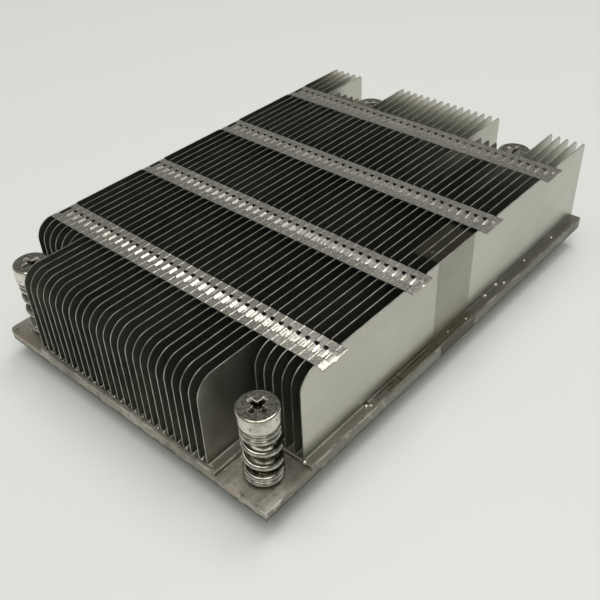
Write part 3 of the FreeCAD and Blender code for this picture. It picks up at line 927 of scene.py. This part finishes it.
def screw_points(x, y, top, bottom, groove_top, groove_bottom, tip):
    """Points of a screw, and at each the share of the recess's full depth. Turns the profile round
    the axis, sinks the cross into the top and cuts the thread as a triangle wave that runs along a
    right-hand helix: z / pitch - turn / 2 pi."""
    profile = turned_profile(top, bottom, groove_top, groove_bottom, tip)
    # Clockwise, because the rows run downwards and the faces have to point outwards.
    turn = -np.linspace(0, 2 * math.pi, turned_steps, endpoint=False)
    radius = np.repeat(profile[:, :1], turned_steps, axis=1)
    height = np.repeat(profile[:, 1:], turned_steps, axis=1)
    in_thread = ((height < groove_bottom - hair) & (height > tip + thread_end)
                 & (radius > groove_radius))
    fade = np.clip((groove_bottom - height) / thread_pitch, 0, 1)
    phase = (height / thread_pitch - turn[None, :] / (2 * math.pi)) % 1.0
    radius = radius - in_thread * fade * thread_depth * 2 * np.abs(phase - 0.5)
    east = radius * np.cos(turn)[None, :]
    north = radius * np.sin(turn)[None, :]
    on_top = (height > top - hair / 10) & (radius < recess_reach)
    sunk = np.maximum(slot_depth(east, north), slot_depth(north, east))
    height = height - on_top * sunk
    return np.stack([x + east, y + north, height], axis=-1), on_top * sunk / recess_depth


# Nickel with dark pinholes and rubbed lines. The face of the head is darkened with painted shade;
# the cross in it has painted shade inside and a painted highlight on its rim.
nickel_dull = (0.46, 0.445, 0.385, 1)
nickel_bright = (0.74, 0.72, 0.645, 1)
pinhole = (0.26, 0.25, 0.21, 1)
rubbed_line = (0.90, 0.88, 0.82, 1)
head_top_shade_dark = (0.20, 0.195, 0.16, 1)
head_top_shade_pale = (0.50, 0.485, 0.42, 1)
recess_rim_highlight = (0.90, 0.88, 0.80, 1)
recess_painted_shade = (0.24, 0.23, 0.19, 1)
head_top_height = (0.02076, 0.02079)
screw_material, tree, shader = new_metal("nickel_plate")
wear = grain(tree, 1400.0, detail=4.0)
dull = grain(tree, 260.0)
rubs = placed(tree, scratch_group, Scale=620.0, Stretch=(1.0, 0.22, 1.0), Width=0.014,
              Cover=0.46)["Mask"]
cross = tree.nodes.new("ShaderNodeAttribute")
cross.attribute_name = "recess"
nickel = shade(tree, dull, nickel_dull, nickel_bright)
nickel = shade(tree, wear, pinhole, nickel, 0.34, 0.42)
nickel = shade(tree, rubs, nickel, rubbed_line, 0.0, 1.0)
# Painted shade: the face of the head is coloured darker.
head_top_painted_shade = shade(tree, wear, head_top_shade_dark, head_top_shade_pale, 0.30, 0.66)
nickel = shade(tree, height_on_part(tree), nickel, head_top_painted_shade, *head_top_height)
# Painted highlight on the rim of the cross and painted shade inside it.
nickel = shade(tree, cross.outputs["Fac"], nickel, recess_rim_highlight, 0.01, 0.05)
nickel = shade(tree, cross.outputs["Fac"], nickel, recess_painted_shade, 0.10, 0.45)
tree.links.new(nickel, shader.inputs["Base Color"])
tree.links.new(value_between(tree, dull, 0.20, 0.09), shader.inputs["Roughness"])
add_bump(tree, shader, math_node(tree, "SUBTRACT", wear, rubs), 0.16, 0.00006)

for place in places:
    low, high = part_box("screw_" + place)
    clip_low, clip_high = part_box("retaining_clip_" + place)
    points, recess = screw_points((low.x + high.x) / 2, (low.y + high.y) / 2,
                                  high.z, high.z - head_height,
                                  clip_high.z + clip_gap, clip_low.z - clip_gap, low.z)
    mesh = smooth_mesh("captive_screw_" + place, points, screw_material, recess)
    piece = new_piece("captive_screw_" + place, mesh, "screw_" + place)
    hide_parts("screw_" + place)

# --- Springs ----------------------------------------------------------------------------------
# Compression springs of bright drawn wire between the plate and each screw head, wound left-hand
# with nearly closed turns at both ends.
wire_radius = 0.0006
coil_radius = 0.0032
end_gap = 0.00005
end_turns = 1.6
end_pitch = 0.0012
active_turns = 2.5
start_angle = 84.0
steps_per_turn = 72
wire_sides = 20
seat = 0.0034


def spring_points(x, y, low, high):
    """A tube along a helix, x = R cos a and y = R sin a: its centre line rises by end_pitch a turn
    in the end turns and steadily between. Rows are circles of the wire's radius, across it."""
    turns = 2 * end_turns + active_turns
    turn = np.linspace(0, turns, int(turns * steps_per_turn))
    length = high - low - 2 * (end_gap + wire_radius)
    active_pitch = (length - 2 * end_turns * end_pitch) / active_turns
    rise = (end_pitch * np.minimum(turn, end_turns)
            + active_pitch * np.clip(turn - end_turns, 0, active_turns)
            + end_pitch * np.maximum(turn - end_turns - active_turns, 0))
    angle = math.radians(start_angle) - 2 * math.pi * turn
    centre = np.stack([x + coil_radius * np.cos(angle), y + coil_radius * np.sin(angle),
                       low + end_gap + wire_radius + rise], axis=-1)
    ahead = np.gradient(centre, axis=0)
    ahead /= np.linalg.norm(ahead, axis=1, keepdims=True)
    outward = np.stack([np.cos(angle), np.sin(angle), np.zeros_like(angle)], axis=-1)
    upward = np.cross(ahead, outward)
    round_wire = np.linspace(0, 2 * math.pi, wire_sides, endpoint=False)
    # The two ends are closed by rows that shrink to the middle of the wire.
    shrink = np.ones(len(turn) + 2)
    shrink[0] = shrink[-1] = 0.0
    centre = np.concatenate([centre[:1], centre, centre[-1:]])
    outward = np.concatenate([outward[:1], outward, outward[-1:]])
    upward = np.concatenate([upward[:1], upward, upward[-1:]])
    ring = (np.cos(round_wire)[None, :, None] * outward[:, None, :]
            + np.sin(round_wire)[None, :, None] * upward[:, None, :])
    return centre[:, None, :] + wire_radius * shrink[:, None, None] * ring


wire_dark = (0.27, 0.265, 0.225, 1)
wire_bright = (0.52, 0.51, 0.45, 1)
wire_material, tree, shader = new_metal("drawn_wire")
scuff = grain(tree, 700.0, detail=4.0)
tree.links.new(shade(tree, scuff, wire_dark, wire_bright), shader.inputs["Base Color"])
tree.links.new(value_between(tree, scuff, 0.14, 0.06), shader.inputs["Roughness"])
add_bump(tree, shader, scuff, 0.06, 0.00005)

for place in places:
    low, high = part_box("screw_" + place)
    centre_x = (low.x + high.x) / 2
    centre_y = (low.y + high.y) / 2
    under_head = high.z - head_height
    points = spring_points(centre_x, centre_y, seat, under_head)
    mesh = smooth_mesh("coil_spring_" + place, points, wire_material)
    piece = new_piece("coil_spring_" + place, mesh, "heatsink")
    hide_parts("spring_" + place)
    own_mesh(piece)

# --- Retaining clips --------------------------------------------------------------------------
# Stamped open rings of dark spring steel in the grooves, which stop the screws under the plate.
clip_dark = (0.22, 0.22, 0.21, 1)
clip_pale = (0.36, 0.35, 0.33, 1)
clip_material, tree, shader = new_metal("clip_steel")
oil = grain(tree, 500.0)
tree.links.new(shade(tree, oil, clip_dark, clip_pale), shader.inputs["Base Color"])
tree.links.new(value_between(tree, oil, 0.3, 0.45), shader.inputs["Roughness"])
for place in places:
    dress("retaining_clip_" + place, clip_material)
